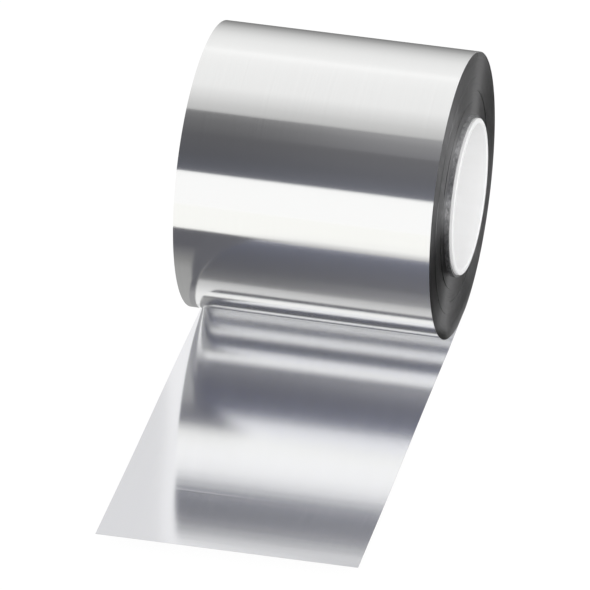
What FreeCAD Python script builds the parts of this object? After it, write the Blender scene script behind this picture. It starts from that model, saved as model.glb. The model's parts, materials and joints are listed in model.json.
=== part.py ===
import FreeCAD, Part
import itertools
import math
import os

# Roll of aluminium foil tape lying on its curved side, with a stretch pulled off in front.
# Millimetres. X runs along the roll's axis, +Z is up, and the pulled-off stretch runs towards -Y.
# The origin is on the axis, halfway across the web.

# Core
core_bore = 76.2          # a three-inch core
core_wall = 2.8
core_overhang = 1.8       # the core beyond its own first turns, at each end
core_chamfer = 0.4        # broken edge inside and outside each end

# Tape
web_width = 135.0
roll_diameter = 150.4
tape_thickness = 0.1      # foil and its adhesive
flat_half_width = 7.5     # the roll has settled on its side by its own weight

# Tail: the stretch pulled off the roll. It leaves the floor in a gentle bend, rises straight to its
# cut end, and was pulled a little askew. The cut is square to it.
tail_length = 236.2       # from the nip to the cut end, seen from above
tail_on_floor = 10.5      # from the nip to where it leaves the floor
tail_bend_radius = 700.0
tail_rise = 2.35          # degrees
tail_skew = 0.75          # degrees, towards +X

# Winding. The outermost turns run true with the tail.
slipped_thickness = 1.4   # the first turns, which slipped sideways along with the core
slipped_shift = 2.5
group_thickness = 6.5     # turns wound between one small sideways step and the next
group_shifts = (0.12, -0.15, 0.1, -0.08)

# Derived
core_radius = core_bore / 2 + core_wall       # the first turn is wound tight on the core
core_length = web_width + 2 * core_overhang
roll_radius = roll_diameter / 2
floor_z = -math.sqrt(roll_radius ** 2 - flat_half_width ** 2)
turn_step = tape_thickness / 4                # what the outer turn loses in each quarter

x_axis = FreeCAD.Vector(1, 0, 0)


def at(y, z):
    """Point in the roll's cross-section plane."""
    return FreeCAD.Vector(0, y, z)


def on_circle(centre, radius, degrees):
    """Point of a circle in the cross-section, with the angle counted from +Y towards +Z."""
    angle = math.radians(degrees)
    return centre + at(radius * math.cos(angle), radius * math.sin(angle))


def arc(centre, radius, start, end):
    """Arc of a circle in the cross-section between two angles in degrees."""
    points = [on_circle(centre, radius, angle) for angle in (start, (start + end) / 2, end)]
    return Part.Arc(*points).toShape()


def line(start, end):
    return Part.LineSegment(start, end).toShape()


def extruded(outline, width):
    """Solid with the given outline in the cross-section, centred across the web."""
    face = Part.Face(outline)
    face.translate(FreeCAD.Vector(-width / 2, 0, 0))
    return face.extrude(FreeCAD.Vector(width, 0, 0))


def outer_turn():
    """The last turn's outside: a spiral of four arcs, from the flat spot's back edge to the nip.

    Each arc meets the next in a common tangent, and the spiral comes round one tape thickness
    inside its start, on top of the stretch that leaves the roll.
    """
    centre = at(0, 0)
    radius = roll_radius
    start = -90 + math.degrees(math.asin(flat_half_width / roll_radius))
    arcs = []
    for end in (0, 90, 180):
        arcs.append(arc(centre, radius, start, end))
        centre = on_circle(centre, turn_step, end)
        radius -= turn_step
        start = end
    drop = centre.z - (floor_z + tape_thickness)
    nip = 180 + math.degrees(math.asin(drop / radius))
    arcs.append(arc(centre, radius, start, nip))
    return arcs, on_circle(centre, radius, nip)


def roll_outline(arcs, nip):
    """Closed outline of the wound roll in the cross-section, closed under the nip."""
    back_edge = at(flat_half_width, floor_z)
    under_nip = at(nip.y, floor_z)
    return Part.Wire(arcs + [line(nip, under_nip), line(under_nip, back_edge)])


def tail_outline(nip, reach):
    """Closed outline of the tail in the cross-section: along the floor, round its bend and straight up."""
    lift_off = nip.y - tail_on_floor
    centre = at(lift_off, floor_z + tail_bend_radius)
    top_radius = tail_bend_radius - tape_thickness
    bend_end = -90 - tail_rise
    lower_end = on_circle(centre, tail_bend_radius, bend_end)
    upper_end = on_circle(centre, top_radius, bend_end)
    rising = on_circle(at(0, 0), reach, 180 - tail_rise)
    under_nip = at(nip.y, floor_z)
    edges = [
        line(under_nip, at(lift_off, floor_z)),
        arc(centre, tail_bend_radius, -90, bend_end),
        line(lower_end, lower_end + rising),
        line(lower_end + rising, upper_end + rising),
        line(upper_end + rising, upper_end),
        arc(centre, top_radius, bend_end, -90),
        line(at(lift_off, nip.z), nip),
        line(nip, under_nip),
    ]
    return Part.Wire(edges)


def tail(nip):
    """The tail, cut out of a wide rising sheet along its two skewed edges and its square end."""
    skew = math.radians(tail_skew)
    along = FreeCAD.Vector(math.sin(skew), -math.cos(skew), 0)
    across = FreeCAD.Vector(math.cos(skew), math.sin(skew), 0)
    half_width = web_width / 2 * math.cos(skew)
    start = FreeCAD.Vector(0, nip.y, 2 * floor_z)
    end = start + along * tail_length
    corners = [
        start - x_axis * (web_width / 2),
        start + x_axis * (web_width / 2),
        end + across * half_width,
        end - across * half_width,
    ]
    plan = Part.Face(Part.makePolygon(corners + corners[:1]))
    blade = plan.extrude(FreeCAD.Vector(0, 0, roll_diameter))
    sheet = extruded(tail_outline(nip, tail_length), 2 * web_width)
    return sheet.common(blade)


def cylinder(radius, length, middle=0.0):
    """Round bar along the roll's axis, with its middle at the given X."""
    base = FreeCAD.Vector(middle - length / 2, 0, 0)
    return Part.makeCylinder(radius, length, base, x_axis)


def tube(inner, outer, length, middle):
    hole = cylinder(inner, 2 * length, middle)
    return cylinder(outer, length, middle).cut(hole)


def winding_groups():
    """Inner radius, outer radius and sideways shift of each group of turns, from the core outwards.

    As many groups as the roll holds, with at least one group's thickness left for the outermost turns.
    """
    groups = [(core_radius, core_radius + slipped_thickness, slipped_shift)]
    inner = core_radius + slipped_thickness
    shifts = itertools.cycle(group_shifts)
    while inner + 2 * group_thickness < roll_radius:
        groups.append((inner, inner + group_thickness, next(shifts)))
        inner += group_thickness
    return groups


def foil_tape():
    """All the turns and the tail as one solid, with each group of turns at its own sideways shift."""
    arcs, nip = outer_turn()
    roll = extruded(roll_outline(arcs, nip), web_width)
    groups = winding_groups()
    last_radius = groups[-1][1]
    roll = roll.cut(cylinder(last_radius, 2 * web_width))
    turns = [tube(inner, outer, web_width, shift) for inner, outer, shift in groups]
    return roll.fuse(turns + [tail(nip)]).removeSplitter()


def core():
    """Plain tube, longer than the web, with its edges broken."""
    body = tube(core_bore / 2, core_radius, core_length, slipped_shift)
    end_edges = [edge for edge in body.Edges if edge.Curve.TypeId == "Part::GeomCircle"]
    return body.makeChamfer(core_chamfer, end_edges)


os.makedirs("parts", exist_ok=True)
for name, shape in (("foil_tape", foil_tape()), ("core", core())):
    shape.exportStep("parts/" + name + ".step")
    print(name, shape.isValid(), len(shape.Solids), round(shape.Volume / 1000, 1), "cm3", shape.BoundBox)
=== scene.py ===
import json
import math
import random

import bpy
from mathutils import Matrix, Vector


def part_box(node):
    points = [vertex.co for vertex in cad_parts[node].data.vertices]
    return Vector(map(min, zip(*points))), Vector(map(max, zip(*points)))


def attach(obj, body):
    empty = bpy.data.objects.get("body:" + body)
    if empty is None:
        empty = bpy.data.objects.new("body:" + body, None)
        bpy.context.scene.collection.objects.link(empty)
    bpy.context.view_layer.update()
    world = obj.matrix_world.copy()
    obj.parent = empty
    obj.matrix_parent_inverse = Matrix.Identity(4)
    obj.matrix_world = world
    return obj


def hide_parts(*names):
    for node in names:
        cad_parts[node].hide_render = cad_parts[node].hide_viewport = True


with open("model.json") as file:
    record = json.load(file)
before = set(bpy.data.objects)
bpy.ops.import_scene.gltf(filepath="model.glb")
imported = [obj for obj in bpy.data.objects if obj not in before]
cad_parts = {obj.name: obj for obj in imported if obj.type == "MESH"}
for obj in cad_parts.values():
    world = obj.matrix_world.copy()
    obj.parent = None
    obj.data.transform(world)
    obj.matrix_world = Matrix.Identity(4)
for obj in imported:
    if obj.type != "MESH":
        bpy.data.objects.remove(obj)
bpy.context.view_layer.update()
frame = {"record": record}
bpy.context.scene.view_settings.view_transform = "Standard"

# Places that every piece starts from, all read from the frame
tapeLow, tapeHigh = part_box("foil_tape")
coreLow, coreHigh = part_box("core")
floorZ = tapeLow.z
rollRadius = tapeHigh.y
coreRadius = coreHigh.y
coreMiddleX = (coreLow.x + coreHigh.x) / 2            # the core slipped sideways by this much
coreProud = 0.0018                                    # how far the core stands out of its own turns
halfWeb = (coreHigh.x - coreLow.x) / 2 - coreProud
flatHalf = math.sqrt(rollRadius ** 2 - floorZ ** 2)   # half the width of the settled underside
boreRadius = next(mount["dims"]["r_mm"] for mount in frame["record"]["mounts"]
                  if mount["name"] == "core_bore") / 1000


def deselectAll():
    if bpy.context.object and bpy.context.object.mode != "OBJECT":
        bpy.ops.object.mode_set(mode="OBJECT")
    bpy.ops.object.select_all(action="DESELECT")


def nameActive(name):
    piece = bpy.context.object
    piece.name = name
    piece.data.name = name
    return piece


def makeActive(piece):
    deselectAll()
    piece.select_set(True)
    bpy.context.view_layer.objects.active = piece


def pickVertices(piece, test):
    # stays in edit mode, with the vertices selected whose place passes the test
    bpy.ops.mesh.select_mode(type="VERT")
    bpy.ops.mesh.select_all(action="DESELECT")
    bpy.ops.object.mode_set(mode="OBJECT")
    for vertex in piece.data.vertices:
        vertex.select = test(vertex.co)
    bpy.ops.object.mode_set(mode="EDIT")


def applyPlace(piece):
    makeActive(piece)
    bpy.ops.object.transform_apply(location=True, rotation=True, scale=True)


def smoothByAngle(piece, degrees):
    makeActive(piece)
    bpy.ops.object.shade_smooth_by_angle(angle=math.radians(degrees))


def applyModifier(piece, kind, name, **settings):
    makeActive(piece)
    modifier = piece.modifiers.new(name, kind)
    for key, value in settings.items():
        setattr(modifier, key, value)
    bpy.ops.object.modifier_apply(modifier=modifier.name)


def newMaterial(name, constants=None):
    material = bpy.data.materials.new(name)
    material.use_nodes = True
    tree = material.node_tree
    shader = tree.nodes["Principled BSDF"]
    for key, value in (constants or {}).items():
        shader.inputs[key].default_value = value
    return material, tree.nodes, tree.links, shader


def addNode(nodes, kind, inputs=None, **settings):
    node = nodes.new(kind)
    for key, value in settings.items():
        setattr(node, key, value)
    for key, value in (inputs or {}).items():
        node.inputs[key].default_value = value
    return node


def mixColour(nodes, links, share, first, second):
    # a colour or a socket each, mixed by the share of the second
    mix = addNode(nodes, "ShaderNodeMix", data_type="RGBA")
    links.new(share, mix.inputs["Factor"])
    for colour, socket in ((first, mix.inputs[6]), (second, mix.inputs[7])):
        if isinstance(colour, tuple):
            socket.default_value = colour
        else:
            links.new(colour, socket)
    return mix.outputs[2]


def rampColour(nodes, links, share, stops):
    # a colour that follows a share from 0 to 1 through its stops
    node = addNode(nodes, "ShaderNodeValToRGB")
    ramp = node.color_ramp
    while len(ramp.elements) < len(stops):
        ramp.elements.new(0.5)
    for element, (place, colour) in zip(ramp.elements, stops):
        element.position = place
        element.color = (*colour, 1) if isinstance(colour, tuple) else (colour, colour, colour, 1)
    links.new(share, node.inputs["Fac"])
    return node.outputs["Color"]


def mapSpan(nodes, links, value, span, result, **settings):
    # one span of a value turned into another
    limits = {"From Min": span[0], "From Max": span[1], "To Min": result[0], "To Max": result[1]}
    node = addNode(nodes, "ShaderNodeMapRange", limits, **settings)
    links.new(value, node.inputs["Value"])
    return node.outputs["Result"]


def addMath(nodes, links, operation, *values):
    # the result of a sum or a test, on numbers or sockets
    node = addNode(nodes, "ShaderNodeMath", operation=operation)
    for socket, value in zip(node.inputs, values):
        if isinstance(value, (int, float)):
            socket.default_value = value
        else:
            links.new(value, socket)
    return node.outputs[0]


def addBump(nodes, links, height, strength, distance=0.0001, under=None):
    # relief from a height, on top of another relief if there is one
    node = addNode(nodes, "ShaderNodeBump", {"Strength": strength, "Distance": distance})
    links.new(height, node.inputs["Height"])
    if under is not None:
        links.new(under, node.inputs["Normal"])
    return node.outputs["Normal"]


def placeNoise(nodes, links, scale, detail, roughness=0.5):
    # noise on the piece's own coordinates, drawn out by its three scales
    place = addNode(nodes, "ShaderNodeTexCoord")
    stretch = addNode(nodes, "ShaderNodeMapping", {"Scale": scale})
    noise = addNode(nodes, "ShaderNodeTexNoise", {"Scale": 1.0, "Detail": detail, "Roughness": roughness})
    links.new(place.outputs["Object"], stretch.inputs["Vector"])
    links.new(stretch.outputs["Vector"], noise.inputs["Vector"])
    return noise.outputs["Fac"]


def finishShader(links, shader, tone, gloss, relief):
    links.new(tone, shader.inputs["Base Color"])
    links.new(gloss, shader.inputs["Roughness"])
    links.new(relief, shader.inputs["Normal"])


# Camera, aimed a little in front of the roll at the height of its axis
view = {
    "aimX": 0.0055,
    "aimY": -0.109,
    "distance": 4.2,
    "azimuth": 14.42,         # degrees round from the front towards the open end
    "elevation": 33.86,
    "bank": -0.7,
    "lens": 504.6,
}


def addCamera():
    data = bpy.data.cameras.new("productCamera")
    data.lens = view["lens"]
    data.sensor_width = 36
    camera = bpy.data.objects.new("productCamera", data)
    bpy.context.scene.collection.objects.link(camera)
    turn = Matrix.Rotation(math.radians(view["azimuth"]), 3, "Z")
    tilt = Matrix.Rotation(math.radians(90 - view["elevation"]), 3, "X")
    bank = Matrix.Rotation(math.radians(view["bank"]), 3, "Z")
    facing = turn @ tilt @ bank
    aim = Vector((view["aimX"], view["aimY"], 0))
    camera.location = aim + facing @ Vector((0, 0, view["distance"]))
    camera.rotation_euler = facing.to_euler()
    bpy.context.scene.camera = camera
    return camera


camera = addCamera()
print("camera at", [round(v, 3) for v in camera.location])


# Studio: a white floor and room, a long diffuser overhead, and a dark flag, mats and cards, which
# draw the bands in the foil; the mats round the roll carry painted floor shade
studio = {
    "floorTone": 0.86,
    "floorGlow": 1.04,        # of the floor's own light
    "glowShare": 0.93,        # share of the floor that stays white whatever shades it
    "floorSize": 40.0,
    "panelRadius": 5.0,
    "panelLength": 18.0,
    "diffuserStart": -1.2,    # degrees over the roll, from the horizon behind it
    "diffuserEnd": 104.9,
    "flagEnd": 154.1,
    "flagRamp": (-1.13, -0.98),   # along the roll's axis, where the flag gets lighter
    "flagGain": (0.8, 1.12),
    "stripEnd": 121.5,        # the flag's lighter strip beside the diffuser
    "stripRamp": (-1.04, -1.0),
    "stripGain": 0.3,
    "matSize": 12.0,
    "matRamp": (-0.09, -0.05),    # along the roll's axis, where the mat's front edge gets soft and gives way to the painted shadow in front of the cut end
}
floorLayers = {               # metres under the object, each sheet over the last
    "floor": 0.0001,
    "greyMatAndShade": 0.00005,
    "endMat": 0.00003,
    "footShadeMat": 0.00002,
    "endStrip": 0.00001,
}
diffuserTones = [             # degrees over the roll and brightness
    (0, 0.51), (10, 0.67), (18, 0.78), (25, 0.84), (38, 0.9), (44, 0.98), (50, 0.92), (60, 0.89),
    (82, 0.86), (88, 0.77), (92, 0.71), (98, 0.61), (104.9, 0.52),
]
flagTones = [
    (104.5, (0.235, 0.235, 0.24)), (108, (0.222, 0.222, 0.228)), (112, (0.185, 0.185, 0.192)),
    (118, (0.16, 0.16, 0.168)), (125, (0.132, 0.132, 0.142)), (140, (0.12, 0.122, 0.137)),
    (148, (0.13, 0.134, 0.155)), (154.1, (0.16, 0.166, 0.195)),
]
warmWhite = (0.99, 0.99, 0.965)
matAndShadeTones = [                  # metres behind the axis and brightness, under and beside the object; darker in front and just behind the roll, the darkening behind it painted floor shade
    (-0.287, (0.12, 0.12, 0.135)), (-0.175, (0.12, 0.12, 0.135)), (-0.147, (0.18, 0.18, 0.19)),
    (-0.125, 0.255), (-0.105, 0.335), (-0.05, 0.385), (0.05, 0.35), (0.2, 0.2), (0.34, 0.21),
]
# behind the roll the mat lightens with distance: painted floor shade
matBackShadeTones = [(0.34, 0.21), (0.7, 0.34), (1.7, 0.44), (5.0, 0.5)]
matFrontShadowTones = [             # in front of the cut end, a painted shadow that is darkest at the cut end and fades out to white
    (-0.5, warmWhite), (-0.34, (0.95, 0.95, 0.93)), (-0.292, 0.7), (-0.253, 0.41), (-0.233, 0.3),
]
footShadeMat = {                   # a wedge of darker mat beside the closed end, along the stretch's edge: painted floor shade
    "inner": -0.0675,         # along the roll's axis
    "narrow": -0.0705,
    "wide": -0.0945,
    "back": -0.03,            # in metres behind the axis
    "widens": -0.085,
    "front": -0.27,
    "tones": [(-0.078, (0.125, 0.126, 0.142)), (-0.062, (0.3, 0.3, 0.31)), (-0.03, (0.34, 0.34, 0.345))],
}
endMat = {                    # the floor that the open end faces
    "left": 0.07,
    "right": 1.2,
    "front": -2.0,
    "back": 3.0,
    "tones": [(0.07, 0.01), (0.225, 0.01), (0.255, 0.8), (1.2, 0.8)],   # by metres along the axis
}
endStrip = {                  # a bright strip on that floor, running away from the camera
    "place": (0.19, 0.74),    # of its middle
    "width": 0.01,
    "length": 1.53,
    "turn": 8.5,              # degrees
    "tones": [(-0.025, 0.35), (0.05, 0.45), (0.18, 1.0), (1.5, 1.0)],   # by metres behind the axis
}
endWall = {                   # a dark wall beyond that floor, behind the axis, with a bright door
    "place": 1.2,
    "front": 0.0,
    "back": 5.0,
    "height": 5.0,
    "tone": 0.01,
    "doorPlace": 0.46,        # metres behind the axis
    "doorWidth": 0.93,
    "doorTone": 1.0,
    "doorGap": 0.01,          # that it stands in front of the wall
}
sideCard = {
    "place": 0.3,             # metres behind the axis
    "left": -0.7,
    "right": -0.172,
    "top": 0.40,              # over the axis
    "tone": 0.7,
}


def mirrorAndCamera(nodes, links):
    # 1 for what the camera, a mirror or clear glass sees, 0 for the light that falls on plain surfaces
    path = addNode(nodes, "ShaderNodeLightPath")
    seen = addMath(nodes, links, "MAXIMUM", path.outputs["Is Camera Ray"], path.outputs["Is Glossy Ray"])
    return addMath(nodes, links, "MAXIMUM", seen, path.outputs["Is Transmission Ray"])


def addRoom():
    world = bpy.data.worlds.new("whiteRoom")
    world.use_nodes = True
    background = world.node_tree.nodes["Background"]
    background.inputs["Color"].default_value = (1, 1, 1, 1)
    background.inputs["Strength"].default_value = 1.0
    bpy.context.scene.world = world


def floorMaterial():
    # pale paint that glows white to the camera and to mirrors, and keeps a trace of the object's shadow
    tone = studio["floorTone"]
    material, nodes, links, shader = newMaterial("studioFloor", {
        "Base Color": (tone, tone, tone, 1), "Roughness": 0.9, "Specular IOR Level": 0.1})
    glow = addNode(nodes, "ShaderNodeEmission", {"Strength": studio["floorGlow"]})
    share = mapSpan(nodes, links, mirrorAndCamera(nodes, links), (0, 1), (0, studio["glowShare"]))
    mix = addNode(nodes, "ShaderNodeMixShader")
    links.new(share, mix.inputs["Fac"])
    links.new(shader.outputs["BSDF"], mix.inputs[1])
    links.new(glow.outputs["Emission"], mix.inputs[2])
    links.new(mix.outputs["Shader"], nodes["Material Output"].inputs["Surface"])
    return material


def addFloor():
    deselectAll()
    place = (0, 0, floorZ - floorLayers["floor"])
    bpy.ops.mesh.primitive_plane_add(size=studio["floorSize"], location=place)
    floor = nameActive("studioFloor")
    applyPlace(floor)
    floor.data.materials.append(floorMaterial())


def glowMaterial(name):
    # a glowing surface, with its place ready for patterns
    material, nodes, links, shader = newMaterial(name)
    nodes.remove(shader)
    place = addNode(nodes, "ShaderNodeTexCoord")
    parts = addNode(nodes, "ShaderNodeSeparateXYZ")
    glow = addNode(nodes, "ShaderNodeEmission")
    links.new(place.outputs["Object"], parts.inputs["Vector"])
    links.new(glow.outputs["Emission"], nodes["Material Output"].inputs["Surface"])
    return material, nodes, links, parts, glow


def toneAlong(nodes, links, number, tones):
    # colours that follow a number from the first tone's place to the last one's
    low, high = tones[0][0], tones[-1][0]
    share = mapSpan(nodes, links, number, (low, high), (0, 1))
    return rampColour(nodes, links, share, [((value - low) / (high - low), tone) for value, tone in tones])


def panelMaterial(name, tones):
    # brightness by the angle over the roll, in degrees
    material, nodes, links, parts, glow = glowMaterial(name)
    angle = addMath(nodes, links, "ARCTAN2", parts.outputs["Z"], parts.outputs["Y"])
    degrees = addMath(nodes, links, "DEGREES", angle)
    links.new(toneAlong(nodes, links, degrees, tones), glow.inputs["Color"])
    return material, nodes, links, parts, degrees, glow


def addPanel(name, startAngle, endAngle, material):
    # part of a large tube about the roll's axis
    deselectAll()
    start = math.radians(startAngle)
    radius = studio["panelRadius"]
    bpy.ops.mesh.primitive_plane_add(size=1)
    panel = nameActive(name)
    panel.scale = (studio["panelLength"], 0.01, 1)
    applyPlace(panel)
    bpy.ops.object.mode_set(mode="EDIT")
    pickVertices(panel, lambda co: co.y > 0)
    bpy.ops.mesh.delete(type="VERT")
    bpy.ops.mesh.select_all(action="SELECT")
    bpy.ops.transform.translate(value=(0, 0.005 + radius * math.cos(start), radius * math.sin(start)))
    bpy.ops.mesh.spin(steps=48, angle=start - math.radians(endAngle), center=(0, 0, 0), axis=(1, 0, 0))
    bpy.ops.object.mode_set(mode="OBJECT")
    panel.data.materials.append(material)
    panel.visible_camera = False
    panel.visible_diffuse = False


def flagMaterial():
    # lighter towards one end, with a lighter strip beside the diffuser
    material, nodes, links, parts, degrees, glow = panelMaterial("frontFlag", flagTones)
    along = parts.outputs["X"]
    gain = mapSpan(nodes, links, along, studio["flagRamp"], studio["flagGain"])
    strip = mapSpan(nodes, links, along, studio["stripRamp"], (0, studio["stripGain"]))
    inStrip = addMath(nodes, links, "LESS_THAN", degrees, studio["stripEnd"])
    links.new(addMath(nodes, links, "MULTIPLY_ADD", strip, inStrip, gain), glow.inputs["Strength"])
    return material


def plainGlow(name, tone):
    material, nodes, links, parts, glow = glowMaterial(name)
    glow.inputs["Color"].default_value = (tone, tone, tone, 1)
    return material


def addCard(name, material, middle, size, turn=(0, 0, 0)):
    # a flat sheet that only mirrors show
    deselectAll()
    bpy.ops.mesh.primitive_plane_add(size=1)
    card = nameActive(name)
    card.scale = (*size, 1)
    card.rotation_euler = turn
    card.location = middle
    applyPlace(card)
    card.data.materials.append(material)
    card.visible_camera = False
    card.visible_diffuse = False
    card.visible_shadow = False
    return card


def addMatAndShade():
    # the grey mat round the roll, darker behind it as painted floor shade, with a soft front edge where
    # the stretch lies on it and a painted shadow in front of the cut end
    material, nodes, links, parts, glow = glowMaterial("greyMatAndShade")
    along = parts.outputs["Y"]
    isBack = addMath(nodes, links, "GREATER_THAN", along, matBackShadeTones[0][0])
    isWhite = addMath(nodes, links, "LESS_THAN", along, matAndShadeTones[0][0])
    isFront = addMath(nodes, links, "LESS_THAN", along, matFrontShadowTones[-1][0])
    blend = mapSpan(nodes, links, parts.outputs["X"], studio["matRamp"], (0, 1))
    softFront = addMath(nodes, links, "MULTIPLY", blend, isFront)
    tone, backTone, frontTone = (toneAlong(nodes, links, along, tones)
                                 for tones in (matAndShadeTones, matBackShadeTones, matFrontShadowTones))
    # the back tones are painted floor shade, the front tones a painted shadow in front of the cut end
    tone = mixColour(nodes, links, isBack, tone, backTone)
    tone = mixColour(nodes, links, isWhite, tone, (*warmWhite, 1))
    tone = mixColour(nodes, links, softFront, tone, frontTone)
    links.new(tone, glow.inputs["Color"])
    size = studio["matSize"]
    addCard("greyMatAndShade", material, (0, 0, floorZ - floorLayers["greyMatAndShade"]), (size, size))


def addFootShadeMat():
    # painted floor shade beside the stretch: a card whose outer edge is pulled out towards the front
    material, nodes, links, parts, glow = glowMaterial("footShadeMat")
    links.new(toneAlong(nodes, links, parts.outputs["Y"], footShadeMat["tones"]), glow.inputs["Color"])
    inner, narrow, back, front = footShadeMat["inner"], footShadeMat["narrow"], footShadeMat["back"], footShadeMat["front"]
    middleX = (inner + narrow) / 2
    card = addCard("footShadeMat", material, (middleX, (back + front) / 2, floorZ - floorLayers["footShadeMat"]),
                   (inner - narrow, back - front))
    bpy.ops.object.mode_set(mode="EDIT")
    bpy.ops.mesh.select_all(action="SELECT")
    bpy.ops.mesh.bisect(plane_co=(0, footShadeMat["widens"], 0), plane_no=(0, 1, 0))
    pickVertices(card, lambda co: co.x < middleX and co.y < front + 0.001)
    bpy.ops.transform.translate(value=(footShadeMat["wide"] - narrow, 0, 0))
    bpy.ops.object.mode_set(mode="OBJECT")


def addEndCards():
    # what the open end mirrors: a mat with a bright strip, and a dark wall with a bright door
    material, nodes, links, parts, glow = glowMaterial("endMat")
    links.new(toneAlong(nodes, links, parts.outputs["X"], endMat["tones"]), glow.inputs["Color"])
    left, right, front, back = endMat["left"], endMat["right"], endMat["front"], endMat["back"]
    addCard("endMat", material, ((left + right) / 2, (front + back) / 2, floorZ - floorLayers["endMat"]),
            (right - left, back - front))
    material, nodes, links, parts, glow = glowMaterial("endStrip")
    links.new(toneAlong(nodes, links, parts.outputs["Y"], endStrip["tones"]), glow.inputs["Color"])
    addCard("endStrip", material, (*endStrip["place"], floorZ - floorLayers["endStrip"]),
            (endStrip["width"], endStrip["length"]), (0, 0, -math.radians(endStrip["turn"])))
    upright = (0, math.pi / 2, 0)
    place, height, front, back = endWall["place"], endWall["height"], endWall["front"], endWall["back"]
    middleZ = floorZ + height / 2
    addCard("endWall", plainGlow("endWall", endWall["tone"]), (place, (front + back) / 2, middleZ),
            (height, back - front), upright)
    addCard("endDoor", plainGlow("endDoor", endWall["doorTone"]),
            (place - endWall["doorGap"], endWall["doorPlace"], middleZ),
            (height, endWall["doorWidth"]), upright)


def addSideCard():
    # a grey card behind the closed end, standing on the floor
    height = sideCard["top"] - floorZ
    middle = ((sideCard["left"] + sideCard["right"]) / 2, sideCard["place"], floorZ + height / 2)
    addCard("sideCard", plainGlow("sideCard", sideCard["tone"]), middle,
            (sideCard["right"] - sideCard["left"], height), (math.pi / 2, 0, 0))


def addLamp(name, place, target, size, watts):
    # a soft lamp that mirrors don't show
    data = bpy.data.lights.new(name, "AREA")
    data.size = size
    data.energy = watts
    lamp = bpy.data.objects.new(name, data)
    bpy.context.scene.collection.objects.link(lamp)
    lamp.location = place
    lamp.rotation_euler = (Vector(target) - Vector(place)).to_track_quat("-Z", "Y").to_euler()
    lamp.visible_glossy = False
    lamp.visible_camera = False


addRoom()
addFloor()
addLamp("openEndLamp", (1.4, -1.5, 0.9), (coreHigh.x, 0, 0), 1.0, 8)
addPanel("overheadDiffuser", studio["diffuserStart"], studio["diffuserEnd"],
         panelMaterial("overheadDiffuser", diffuserTones)[0])
addPanel("frontFlag", studio["diffuserEnd"], studio["flagEnd"], flagMaterial())
addMatAndShade()
addFootShadeMat()
addEndCards()
addSideCard()
bpy.context.scene.cycles.max_bounces = 24      # the nip between roll and tail mirrors itself many times
bpy.context.scene.cycles.glossy_bounces = 24
print("studio done")


# The last turn round the roll and the stretch pulled off it, one sheet of foil
web = {
    "thickness": 0.0001,
    "columns": 26,         # cells across the web
    "floorLength": 0.0254, # how far in front of the axis the pulled-off stretch leaves the floor
    "bendLength": 0.0107,  # how long it takes to bend up to its rise
    "rise": 2.26,          # degrees that it climbs to its cut end
    "wave": 0.66,          # degrees that its gentle waves tilt it more and less than that
    "waveLength": 0.185,
    "wavePlace": 0.031,    # in front of the axis, where the first wave climbs most
    "skew": 0.75,          # degrees that it was pulled off askew, towards the open end
    "tailRows": 50,        # cells along the rising stretch
    "bendRows": 12,
    "floorRows": 10,
    "quarterRows": 150,    # cells in each quarter of the turn round the roll
    "creasePlace": 0.1945, # how far in front of the axis one faint crease runs across
    "creaseWidth": 0.0012,
    "creaseEnd": 0.03,     # along the roll's axis, where it has faded out
    "creaseStrength": 0.12,
}
skewSlope = math.tan(math.radians(web["skew"]))
nipY = -flatHalf
# the cut end is square to the skewed stretch, so its left corner is the foremost
cutEndY = tapeLow.y + halfWeb * skewSlope


def webLength(place):
    # distance along the web, counted from under the roll
    step = web["thickness"]
    onRoll = place.z > floorZ + 2 * step and math.hypot(place.y, place.z) < rollRadius + step
    if not onRoll:
        return place.y
    angle = math.atan2(place.z, place.y) + math.pi / 2
    return flatHalf + (angle % (2 * math.pi)) * rollRadius


def mapWeb(piece):
    # u runs across the web and v along it, in metres
    layer = piece.data.uv_layers.new(name="webMap")
    for polygon in piece.data.polygons:
        lengths = [webLength(piece.data.vertices[index].co) for index in polygon.vertices]
        for loopIndex, length in zip(polygon.loop_indices, lengths):
            place = piece.data.vertices[piece.data.loops[loopIndex].vertex_index].co
            layer.data[loopIndex].uv = (place.x, length)


def webStreaks(nodes, links, scale, detail):
    # noise drawn out along or across the web by its two scales
    place = addNode(nodes, "ShaderNodeUVMap", uv_map="webMap")
    stretch = addNode(nodes, "ShaderNodeMapping", {"Scale": (*scale, 1)})
    noise = addNode(nodes, "ShaderNodeTexNoise", {"Scale": 1.0, "Detail": detail})
    links.new(place.outputs["UV"], stretch.inputs["Vector"])
    links.new(stretch.outputs["Vector"], noise.inputs["Vector"])
    return noise.outputs["Fac"]


def webCrease(nodes, links):
    # 1 along one faint crease across the pulled-off stretch, fading out towards the open end
    place = addNode(nodes, "ShaderNodeUVMap", uv_map="webMap")
    parts = addNode(nodes, "ShaderNodeSeparateXYZ")
    links.new(place.outputs["UV"], parts.inputs["Vector"])
    offset = addMath(nodes, links, "ADD", parts.outputs["Y"], web["creasePlace"])
    distance = addMath(nodes, links, "ABSOLUTE", offset)
    ridge = mapSpan(nodes, links, distance, (web["creaseWidth"], 0), (0, 1),
                    interpolation_type="SMOOTHSTEP")
    fade = mapSpan(nodes, links, parts.outputs["X"], (web["creaseEnd"], -halfWeb), (0, 1))
    return addMath(nodes, links, "MULTIPLY", ridge, fade)


def foilFace():
    # bright rolled foil: fine rolling lines along the web, and faint ripples across it
    material, nodes, links, shader = newMaterial("rolledFoil", {"Metallic": 1.0})
    rolling = webStreaks(nodes, links, (2600, 9), 3)
    tone = rampColour(nodes, links, rolling, [(0.3, (0.935, 0.937, 0.93)), (0.7, (0.96, 0.962, 0.955))])
    gloss = mapSpan(nodes, links, rolling, (0.3, 0.7), (0.08, 0.1))
    relief = addBump(nodes, links, webStreaks(nodes, links, (9, 210), 2), 0.12)
    finishShader(links, shader, tone, gloss, relief)
    return material


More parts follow.
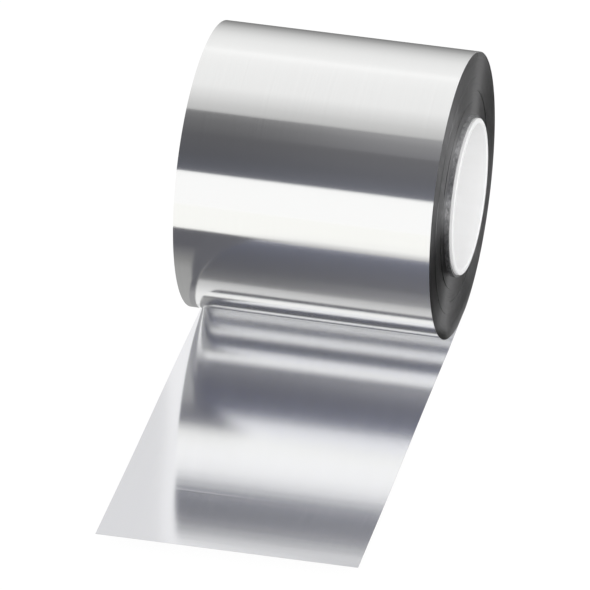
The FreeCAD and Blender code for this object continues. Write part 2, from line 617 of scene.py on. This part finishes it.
def gummedFace():
    # the side with the adhesive: foil under a clear coat that blurs along the web and looks a bit blue
    material, nodes, links, shader = newMaterial("gummedFoil", {
        "Metallic": 1.0, "Anisotropic": 0.7, "Anisotropic Rotation": 0.25,
        "Sheen Weight": 0.145, "Sheen Roughness": 0.6, "Sheen Tint": (0.36, 0.44, 1.0, 1)})
    coating = webStreaks(nodes, links, (700, 14), 3)
    tone = rampColour(nodes, links, coating, [(0.3, (0.99, 0.99, 0.995)), (0.7, (1.0, 1.0, 1.0))])
    gloss = mapSpan(nodes, links, coating, (0.3, 0.7), (0.1, 0.115))
    # ripples, fine streaks and the crease, one relief on top of the other
    relief = addBump(nodes, links, webStreaks(nodes, links, (7, 160), 2), 0.1)
    relief = addBump(nodes, links, webStreaks(nodes, links, (14, 1500), 2), 0.05, under=relief)
    relief = addBump(nodes, links, webCrease(nodes, links), web["creaseStrength"], under=relief)
    finishShader(links, shader, tone, gloss, relief)
    along = addNode(nodes, "ShaderNodeTangent", direction_type="UV_MAP", uv_map="webMap")
    links.new(along.outputs["Tangent"], shader.inputs["Tangent"])
    return material


def tailSlope(distance):
    # how steeply the pulled-off stretch climbs at a distance in front of the axis
    bend = min(1, max(0, (distance - web["floorLength"]) / web["bendLength"]))
    wave = math.cos(2 * math.pi * (distance - web["wavePlace"]) / web["waveLength"])
    return math.tan(math.radians(bend * (web["rise"] + web["wave"] * wave)))


def tailSteps():
    # how far each row of the pulled-off stretch goes back and down, from the cut end to the nip
    bendEnd = web["floorLength"] + web["bendLength"]
    runs = [(-cutEndY - bendEnd) / web["tailRows"]] * web["tailRows"]
    runs += [web["bendLength"] / web["bendRows"]] * web["bendRows"]
    runs += [(web["floorLength"] + nipY) / web["floorRows"]] * web["floorRows"]
    steps = []
    distance = -cutEndY
    for run in runs:
        steps.append((run, -run * tailSlope(distance - run / 2)))
        distance -= run
    return steps


def buildLastTurn():
    deselectAll()
    steps = tailSteps()
    cutEndHeight = floorZ - sum(down for back, down in steps)
    cutEndX = (nipY - cutEndY) * skewSlope
    bpy.ops.mesh.primitive_plane_add(size=1)
    piece = nameActive("lastTurn")
    piece.scale = (2 * halfWeb, 0.01, 1)
    applyPlace(piece)
    bpy.ops.object.mode_set(mode="EDIT")
    # one edge of the plane becomes the cut end
    pickVertices(piece, lambda co: co.y > 0)
    bpy.ops.mesh.delete(type="VERT")
    bpy.ops.mesh.select_all(action="SELECT")
    bpy.ops.mesh.subdivide(number_cuts=web["columns"] - 1)
    bpy.ops.transform.translate(value=(cutEndX, cutEndY + 0.005, cutEndHeight))
    # down the rising stretch, through its bend and along the floor to the nip, a little askew
    for back, down in steps:
        step = (-back * skewSlope, back, down)
        bpy.ops.mesh.extrude_region_move(TRANSFORM_OT_translate={"value": step})
    bpy.ops.mesh.extrude_region_move(TRANSFORM_OT_translate={"value": (0, flatHalf - nipY, 0)})
    # up the back, over and down the front, each quarter a quarter of the thickness tighter than the last
    drop = web["thickness"] / 4
    centre = Vector((0, 0, 0))
    contact = math.asin(flatHalf / rollRadius)
    start = contact - math.pi / 2
    for end in (0, math.pi / 2, math.pi, 3 * math.pi / 2 - contact):
        bpy.ops.mesh.spin(steps=web["quarterRows"], angle=start - end, center=centre, axis=(1, 0, 0))
        centre = centre + Vector((0, math.cos(end), math.sin(end))) * drop
        start = end
    bpy.ops.mesh.select_all(action="SELECT")
    bpy.ops.mesh.remove_doubles(threshold=0.000001)
    bpy.ops.mesh.flip_normals()   # the foil side faces out
    # the cut is square to the pulled-off stretch
    pickVertices(piece, lambda co: co.y < cutEndY + steps[0][0] / 2)
    bpy.ops.transform.rotate(value=-math.radians(web["skew"]), orient_axis="Z",
                             center_override=(cutEndX, cutEndY, cutEndHeight))
    bpy.ops.object.mode_set(mode="OBJECT")
    mapWeb(piece)
    piece.data.materials.append(foilFace())
    piece.data.materials.append(gummedFace())
    applyModifier(piece, "SOLIDIFY", "webThickness", thickness=web["thickness"], offset=-1,
                  use_even_offset=True, material_offset=1, material_offset_rim=0)
    smoothByAngle(piece, 30)
    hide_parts("foil_tape")
    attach(piece, "root")
    return piece


lastTurn = buildLastTurn()
print("last turn", len(lastTurn.data.polygons), "faces")


# All the turns under the last one: rings drawn out from the core to the last turn and back
winding = {
    "segments": 360,
    "slipThickness": 0.0014,   # the first turns, which slipped sideways with the core
    "groupThickness": 0.0065,  # turns between one small sideways step and the next
    "groupShifts": (0.00012, -0.00015, 0.0001, -0.00008),
    "stepWidth": 0.00002,      # the slope between one group and the next
    "ringStep": 0.0006,
    "ringDrift": 0.000025,     # how far neighbouring turns stray sideways
    "seed": 4,
}


def ringPlaces():
    # radius of each modelled ring of an end face and its shift sideways, from the core outwards
    drift = random.Random(winding["seed"])
    slipEnd = coreRadius + winding["slipThickness"]
    places = [(coreRadius, coreMiddleX), (slipEnd, coreMiddleX)]
    lastRadius = rollRadius - 1.5 * web["thickness"]
    radius = slipEnd
    group = 0
    while radius + 2 * winding["groupThickness"] < rollRadius:
        shift = winding["groupShifts"][group % len(winding["groupShifts"])]
        rings = round(winding["groupThickness"] / winding["ringStep"])
        span = winding["groupThickness"] - winding["stepWidth"]
        for ring in range(rings + 1):
            stray = drift.uniform(-1, 1) * winding["ringDrift"]
            places.append((radius + winding["stepWidth"] + ring * span / rings, shift + stray))
        radius += winding["groupThickness"]
        group += 1
    rings = round((lastRadius - radius) / winding["ringStep"])
    for ring in range(1, rings + 1):
        stray = drift.uniform(-1, 1) * winding["ringDrift"] if ring < rings else 0
        places.append((radius + ring * (lastRadius - radius) / rings, stray))
    return places


def woundEdge():
    # dark adhesive lines between bright foil edges, brushed round the axis, with fine scuffs
    material, nodes, links, shader = newMaterial("woundEdge", {
        "Metallic": 1.0, "Anisotropic": 0.92, "Anisotropic Rotation": 0.25})
    place = addNode(nodes, "ShaderNodeTexCoord")
    flat = addNode(nodes, "ShaderNodeVectorMath", {1: (0, 1, 1)}, operation="MULTIPLY")
    radius = addNode(nodes, "ShaderNodeVectorMath", operation="LENGTH")
    fine = addNode(nodes, "ShaderNodeTexNoise", {"Scale": 2600, "Detail": 4}, noise_dimensions="1D")
    links.new(place.outputs["Object"], flat.inputs[0])
    links.new(flat.outputs["Vector"], radius.inputs[0])
    links.new(radius.outputs["Value"], fine.inputs["W"])
    turns = fine.outputs["Fac"]
    scuffs = placeNoise(nodes, links, (120, 120, 120), 8, 0.7)
    darkTone = rampColour(nodes, links, turns, [(0.3, (0.17, 0.17, 0.173)), (0.75, (0.42, 0.42, 0.428))])
    scuffShare = mapSpan(nodes, links, scuffs, (0.5, 0.75), (0, 0.5))
    tone = mixColour(nodes, links, scuffShare, darkTone, (0.6, 0.6, 0.61, 1))
    gloss = mapSpan(nodes, links, scuffs, (0.3, 0.7), (0.28, 0.34))
    finishShader(links, shader, tone, gloss, addBump(nodes, links, turns, 0.35, 0.00005))
    tangent = addNode(nodes, "ShaderNodeTangent", direction_type="RADIAL", axis="X")
    links.new(tangent.outputs["Tangent"], shader.inputs["Tangent"])
    return material


def slippedFlank():
    # the side of the turns that slipped out with the core: bright foil, scuffed dull
    material, nodes, links, shader = newMaterial("scuffedFoil", {"Metallic": 1.0})
    scuffs = placeNoise(nodes, links, (500, 260, 260), 5, 0.7)
    tone = rampColour(nodes, links, scuffs, [(0.35, (0.42, 0.42, 0.43)), (0.65, (0.92, 0.92, 0.93))])
    gloss = mapSpan(nodes, links, scuffs, (0.35, 0.65), (0.5, 0.3))
    finishShader(links, shader, tone, gloss, addBump(nodes, links, scuffs, 0.5, 0.0002))
    return material


def buildRings(name, rings, segments):
    # a closed body of revolution, drawn out ring by ring, each a radius and a place along the axis
    deselectAll()
    radius, x = rings[0]
    bpy.ops.mesh.primitive_circle_add(vertices=segments, radius=radius, location=(x, 0, 0),
                                      rotation=(0, math.pi / 2, 0))
    piece = nameActive(name)
    applyPlace(piece)
    bpy.ops.object.mode_set(mode="EDIT")
    bpy.ops.mesh.select_all(action="SELECT")
    for (radius, x), (nextRadius, nextX) in zip(rings, rings[1:]):
        bpy.ops.mesh.extrude_region_move(TRANSFORM_OT_translate={"value": (nextX - x, 0, 0)})
        factor = nextRadius / radius
        if factor != 1:
            bpy.ops.transform.resize(value=(1, factor, factor), center_override=(0, 0, 0))
    # the inner wall, between the last ring and the first
    bpy.ops.mesh.select_mode(type="EDGE")
    bpy.ops.mesh.select_all(action="DESELECT")
    bpy.ops.mesh.select_non_manifold(extend=False)
    bpy.ops.mesh.bridge_edge_loops()
    bpy.ops.mesh.select_all(action="SELECT")
    bpy.ops.mesh.normals_make_consistent(inside=False)
    bpy.ops.object.mode_set(mode="OBJECT")
    return piece


def buildWinding():
    places = ringPlaces()
    rings = [(radius, halfWeb + shift) for radius, shift in places]
    rings += [(radius, shift - halfWeb) for radius, shift in reversed(places)]
    piece = buildRings("winding", rings, winding["segments"])
    # settled on the floor by its own weight, inside the last turn and the stretch under it
    bodyFloor = floorZ + 2.2 * web["thickness"]
    bpy.ops.object.mode_set(mode="EDIT")
    pickVertices(piece, lambda co: co.z < bodyFloor)
    bpy.ops.transform.resize(value=(1, 1, 0), center_override=(0, 0, bodyFloor))
    bpy.ops.object.mode_set(mode="OBJECT")
    piece.data.materials.append(woundEdge())
    piece.data.materials.append(bpy.data.materials["rolledFoil"])
    piece.data.materials.append(slippedFlank())
    slipEnd = coreRadius + winding["slipThickness"]
    for polygon in piece.data.polygons:
        radius = math.hypot(polygon.center.y, polygon.center.z)
        isWall = abs(polygon.normal.x) < 0.3
        isFlank = isWall and abs(radius - slipEnd) < 0.0002
        isPlain = isWall and not slipEnd < radius < rollRadius - 0.001
        polygon.material_index = 2 if isFlank else 1 if isPlain else 0
    smoothByAngle(piece, 50)
    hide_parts("foil_tape")
    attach(piece, "root")
    return piece


windingBody = buildWinding()
print("winding", len(windingBody.data.polygons), "faces")


# The core: a moulded white tube with its edges broken
core = {
    "segments": 256,
    "chamfer": 0.0004,
}


def whitePlastic():
    # satin white plastic that light enters a little, with faint drawing lines along the tube
    material, nodes, links, shader = newMaterial("whitePlastic", {
        "Subsurface Weight": 0.25, "Subsurface Radius": (1, 1, 1), "Subsurface Scale": 0.004})
    lines = placeNoise(nodes, links, (4, 300, 300), 3)
    tone = rampColour(nodes, links, lines, [(0.3, (0.965, 0.965, 0.965)), (0.7, (0.98, 0.98, 0.982))])
    gloss = mapSpan(nodes, links, lines, (0.3, 0.7), (0.42, 0.52))
    finishShader(links, shader, tone, gloss, addBump(nodes, links, lines, 0.08))
    return material


def buildCore():
    chamfer = core["chamfer"]
    half = (coreHigh.x - coreLow.x) / 2
    outward = [(boreRadius, half - chamfer), (boreRadius + chamfer, half),
               (coreRadius - chamfer, half), (coreRadius, half - chamfer)]
    rings = [(radius, coreMiddleX + x) for radius, x in outward]
    rings += [(radius, coreMiddleX - x) for radius, x in reversed(outward)]
    piece = buildRings("coreTube", rings, core["segments"])
    piece.data.materials.append(whitePlastic())
    smoothByAngle(piece, 25)
    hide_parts("core")
    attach(piece, "root")
    return piece


coreTube = buildCore()
print("core", len(coreTube.data.polygons), "faces")
